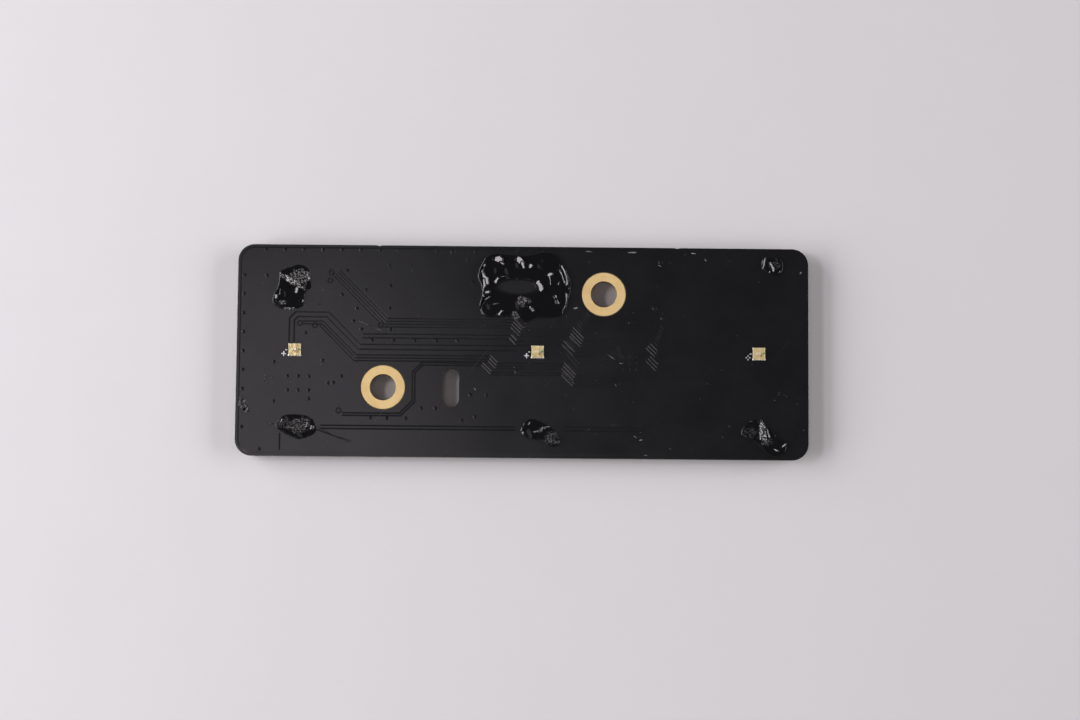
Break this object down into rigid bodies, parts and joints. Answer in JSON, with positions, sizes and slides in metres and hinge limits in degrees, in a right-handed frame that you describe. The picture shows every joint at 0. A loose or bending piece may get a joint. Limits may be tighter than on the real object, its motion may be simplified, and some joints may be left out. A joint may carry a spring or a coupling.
{
  "type": "led board",
  "caption": "Slim black printed circuit board with chip LEDs along its length, gold-ringed screw holes, a slot, and torn adhesive residue.",
  "frame": {"origin": "under the middle of the board, on the plane that its underside parts rest on", "axes": "+X along the board's length, +Y across it towards the edge with the large residue, +Z out of the face with the LEDs"},
  "size_m": [0.07, 0.026, 0.0023],
  "materials": {
    "adhesive": "dark torn adhesive, glossy with pale torn rims",
    "capacitor_ceramic": "tan ceramic capacitor body",
    "chip_plastic": "moulded chip package",
    "clear_resin": "clear epoxy resin",
    "connector_plastic": "moulded heat-resistant plastic",
    "contact_metal": "gold-flashed contacts",
    "gold_plating": "thin gold plating over copper, satin",
    "laminate": "dark glass-epoxy laminate with a routed, slightly fibrous edge",
    "led_base": "cream chip LED substrate",
    "led_die": "semiconductor dies",
    "polarity_ink": "green polarity dot",
    "resistor_ceramic": "glazed black resistor body",
    "solder": "reflowed tin solder and tinned metal",
    "solder_mask": "black liquid solder mask, satin, with fine scuffs",
    "white_ink": "white printed ink, thin and a little grey"
  },
  "bodies": {
    "root": {"adhesive_left_edge": "adhesive", "adhesive_lower_left": "adhesive", "adhesive_lower_middle": "adhesive", "adhesive_lower_right": "adhesive", "adhesive_upper_left": "adhesive", "adhesive_upper_middle": "adhesive", "adhesive_upper_right": "adhesive", "capacitor_1_body": "capacitor_ceramic", "capacitor_1_caps": "solder", "capacitor_2_body": "capacitor_ceramic", "capacitor_2_caps": "solder", "capacitor_3_body": "capacitor_ceramic", "capacitor_3_caps": "solder", "capacitor_4_body": "capacitor_ceramic", "capacitor_4_caps": "solder", "connector_contacts": "contact_metal", "connector_housing": "connector_plastic", "driver_body": "chip_plastic", "driver_leads": "solder", "led_1_base": "led_base", "led_1_dies": "led_die", "led_1_electrodes": "gold_plating", "led_1_lens": "clear_resin", "led_1_polarity_mark": "polarity_ink", "led_1_solder": "solder", "led_2_base": "led_base", "led_2_dies": "led_die", "led_2_electrodes": "gold_plating", "led_2_lens": "clear_resin", "led_2_polarity_mark": "polarity_ink", "led_2_solder": "solder", "led_3_base": "led_base", "led_3_dies": "led_die", "led_3_electrodes": "gold_plating", "led_3_lens": "clear_resin", "led_3_polarity_mark": "polarity_ink", "led_3_solder": "solder", "resistor_1_body": "resistor_ceramic", "resistor_1_caps": "solder", "resistor_2_body": "resistor_ceramic", "resistor_2_caps": "solder", "resistor_3_body": "resistor_ceramic", "resistor_3_caps": "solder", "ring_left": "gold_plating", "ring_right": "gold_plating", "silkscreen": "white_ink", "solder_mask_bottom": "solder_mask", "solder_mask_top": "solder_mask", "substrate": "laminate"}
  },
  "joints": []
}
